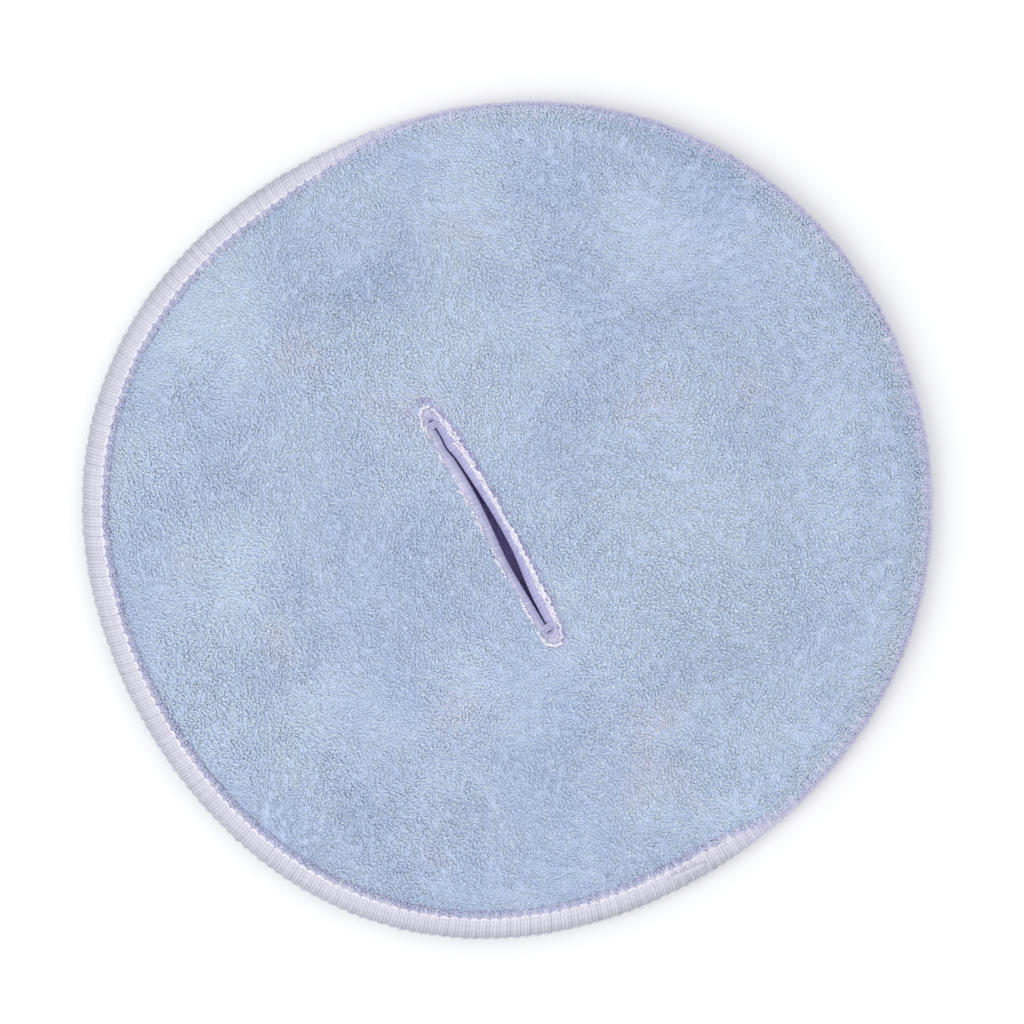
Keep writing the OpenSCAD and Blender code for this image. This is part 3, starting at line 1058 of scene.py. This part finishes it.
def crest_beads(x, y, z, way, rng, thick):
    """A chain of thread beads, one at each place, slanted across the way that the chain runs."""
    along = np.linspace(-1, 1, 5)
    slant = 0.45 + rng.normal(0, 0.12, len(x))
    cos, sin = np.cos(slant), np.sin(slant)
    lie_x = way[:, 0] * cos - way[:, 1] * sin
    lie_y = way[:, 0] * sin + way[:, 1] * cos
    lie = np.stack([lie_x, lie_y, 0.25 * sin], axis=-1)
    centre = np.stack([x, y, z], axis=-1)
    paths = centre[:, None, :] + along[None, :, None] * lie[:, None, :] * BEAD_GAP * 0.62
    paths[..., 2] += 0.10 * MM * (1 - along ** 2)
    radius = thick * rng.uniform(0.7, 1.2, len(x))[:, None] * np.sqrt(1 - 0.85 * along ** 4)
    # tone 0 keeps every bead at the thread's palest colour: a painted highlight along the crest.
    return strand_group(paths, (0.0, 0.0, 1.0), radius, 0.0, rng.uniform(0, 0.5, len(x))[:, None])


def lip_crest(side, place, thick, rng):
    """A chain that runs along the outside of a lip's stitching. On the left lip it is broken."""
    y = np.arange(-SLIT_END, SLIT_END, BEAD_GAP) + rng.uniform(0, BEAD_GAP)
    if side < 0:
        y = y[field(y, 0 * y, 2.6 * MM, 3) > 0.40]
    d = (place + rng.normal(0, 0.14, len(y)) * MM) * lip_share(y, side)
    x = slit_line(y) + side * (slit_half(y) + d)
    z = FACE_LOW + CREST_Z - (0.0 if side > 0 else LEFT_DROP) + rng.normal(0, 0.03, len(y)) * MM
    way = unit(np.stack([np.gradient(x), np.gradient(y)], axis=-1))
    return crest_beads(x, y, z, way, rng, thick)


def add_lip_strands(name, groups, material, node):
    obj = strand_piece(name, groups, settled=False)
    places = point_places(obj)
    add_piece(obj, material, (node,))
    bend_with_lip(obj)


def make_lip_stitching():
    for side, lip in ((-1, "left_lip"), (1, "right_lip")):
        rng = np.random.default_rng(8 + side)
        over = [lip_wraps(side, WRAP_OVER, 13, 0.33 * MM, rng)]
        if side > 0:
            over.append(lip_crest(side, CREST, 0.46 * MM, rng))
            over.append(lip_crest(side, CREST - 0.5 * MM, 0.38 * MM, rng))
        else:
            over.append(lip_crest(side, CREST, 0.34 * MM, rng))
        under = [lip_wraps(side, WRAP_UNDER, 9, 0.24 * MM, rng)]
        for name, groups, material, slot, node in (
            (f"{lip}_stitches", over, SLIT_THREAD, "slit_thread", f"{lip}_stitching"),
            (f"{lip}_bobbin_stitches", under, UNDER_THREAD, "under_thread", f"{lip}_bobbin_thread"),
        ):
            add_lip_strands(name, groups, material, node)


def tack_fan(middle, reach, end, rng):
    """Turns of thread that fan out round one end of the slit."""
    curve = resample(TACK_OVER, 9)
    uneven = rng.normal(0, 0.02, (TACK_TURNS, 1))
    angle = np.linspace(0.02, 0.98, TACK_TURNS)[:, None] * math.pi + uneven
    d = curve[:, 0] / CREST
    x = middle[0] + reach[0] * d * np.cos(angle)
    y = middle[1] + end * reach[1] * d * np.sin(angle)
    z = FACE_LOW + curve[:, 1] + rng.normal(0, 0.07, (TACK_TURNS, 1)) * MM
    way = np.stack([-np.sin(angle), end * np.cos(angle), 0 * angle], axis=-1)
    # Painted shade: the turns are darker near the opening and paler outwards.
    tone = 0.9 - 0.7 * smooth((d - 0.3) / 0.6)
    return strand_group(np.stack([x, y, z], axis=-1), way, 0.21 * MM, tone, 0.45)


def tack_chain(middle, reach, end, rng):
    """The crest's chain, carried round one end of the slit."""
    turn = np.linspace(0.03, 0.97, TACK_BEADS) * math.pi
    uneven = rng.normal(1, 0.05, len(turn))
    x = middle[0] + reach[0] * uneven * np.cos(turn)
    y = middle[1] + end * reach[1] * uneven * np.sin(turn)
    way = unit(np.stack([np.gradient(x), np.gradient(y)], axis=-1))
    return crest_beads(x, y, FACE_LOW + CREST_Z + 0 * turn, way, rng, 0.38 * MM)


def tack_bars(middle, end):
    """Three turns across the end of the opening."""
    share = np.linspace(-1, 1, 9)
    rows = end * (SLIT_END + np.array([-0.4, 0.1, 0.6])[:, None] * MM)
    x = middle[0] + share * 1.3 * MM + 0 * rows
    z = FACE_LOW + (1.7 + 0.5 * (1 - share ** 2)) * MM + 0 * rows
    bars = np.stack([x, rows + 0 * share, z], axis=-1)
    # Painted shade: the bars across the end of the opening keep a darker tone.
    return strand_group(bars, (0.0, 1.0, 0.0), 0.24 * MM, 0.7, 0.5)


def make_bar_tacks():
    for end, name, wide in ((-1, "front_bar_tack", 2.5 * MM), (1, "rear_bar_tack", 2.1 * MM)):
        rng = np.random.default_rng(15 + end)
        middle = float(slit_line(np.array(end * SLIT_END))), end * (SLIT_END - 0.2 * MM)
        reach = wide, (TACK_END - SLIT_END - 0.4 * MM) + 0.2 * MM
        fan = tack_fan(middle, reach, end, rng)
        chain = tack_chain(middle, reach, end, rng)
        obj = strand_piece(f"{name}_turns", [fan, chain, tack_bars(middle, end)], settled=False)
        add_piece(obj, SLIT_THREAD, (name,))
        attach(obj, "pad")


# ---- the studio

VIEW_SPAN = 218.8 * MM
VIEW_CENTRE = Vector((5.23, 0.39, 8.0)) * MM
VIEW_LENS = 100
SENSOR = 36
VIEW_TURN = math.radians(-29.5)
SKY = (0.97, 0.98, 1.0)
SKY_STRENGTH = 0.83
LIGHTS = (  # name, place, size in metres and power in watts
    ("key", (-0.62, 0.05, 0.85), 0.7, 3.6),
    ("fill", (0.7, 0.3, 0.9), 0.9, 1.5),
)


def aim(obj, place, target):
    obj.location = place
    obj.rotation_euler = (Vector(target) - Vector(place)).to_track_quat("-Z", "Y").to_euler()


def make_sky():
    world = bpy.data.worlds.new("studio")
    world.use_nodes = True
    sky = world.node_tree.nodes["Background"]
    sky.inputs["Color"].default_value = (*SKY, 1)
    sky.inputs["Strength"].default_value = SKY_STRENGTH
    bpy.context.scene.world = world
    bpy.context.scene.view_settings.view_transform = "Standard"


def make_floor():
    corners = [(-3, -3, 0), (3, -3, 0), (3, 3, 0), (-3, 3, 0)]
    floor = mesh_object("floor", corners, [[[0, 1, 2, 3]]])
    paper = Nodes("floor_paper")
    tone = paper.mix(paper.noise(3.0), (0.93, 0.93, 0.93), (0.96, 0.96, 0.96))
    floor.data.materials.append(paper.finish(tone, 0.9))


def make_lights():
    for name, place, size, power in LIGHTS:
        data = bpy.data.lights.new(name, "AREA")
        data.size = size
        data.energy = power
        lamp = bpy.data.objects.new(name, data)
        bpy.context.scene.collection.objects.link(lamp)
        aim(lamp, place, (0, 0, 0))


def make_camera():
    data = bpy.data.cameras.new("camera")
    data.lens = VIEW_LENS
    data.sensor_width = SENSOR
    camera = bpy.data.objects.new("camera", data)
    bpy.context.scene.collection.objects.link(camera)
    camera.location = VIEW_CENTRE + Vector((0, 0, VIEW_SPAN * VIEW_LENS / SENSOR))
    camera.rotation_euler = (0, 0, VIEW_TURN)
    bpy.context.scene.camera = camera


# ---- the pad

make_sky()
make_floor()
make_lights()
make_camera()
halves, back, foam, lining = make_cloths()
face_pile = make_face_pile()
back_pile = make_back_pile()
make_rim()
make_lip_stitching()
make_bar_tacks()
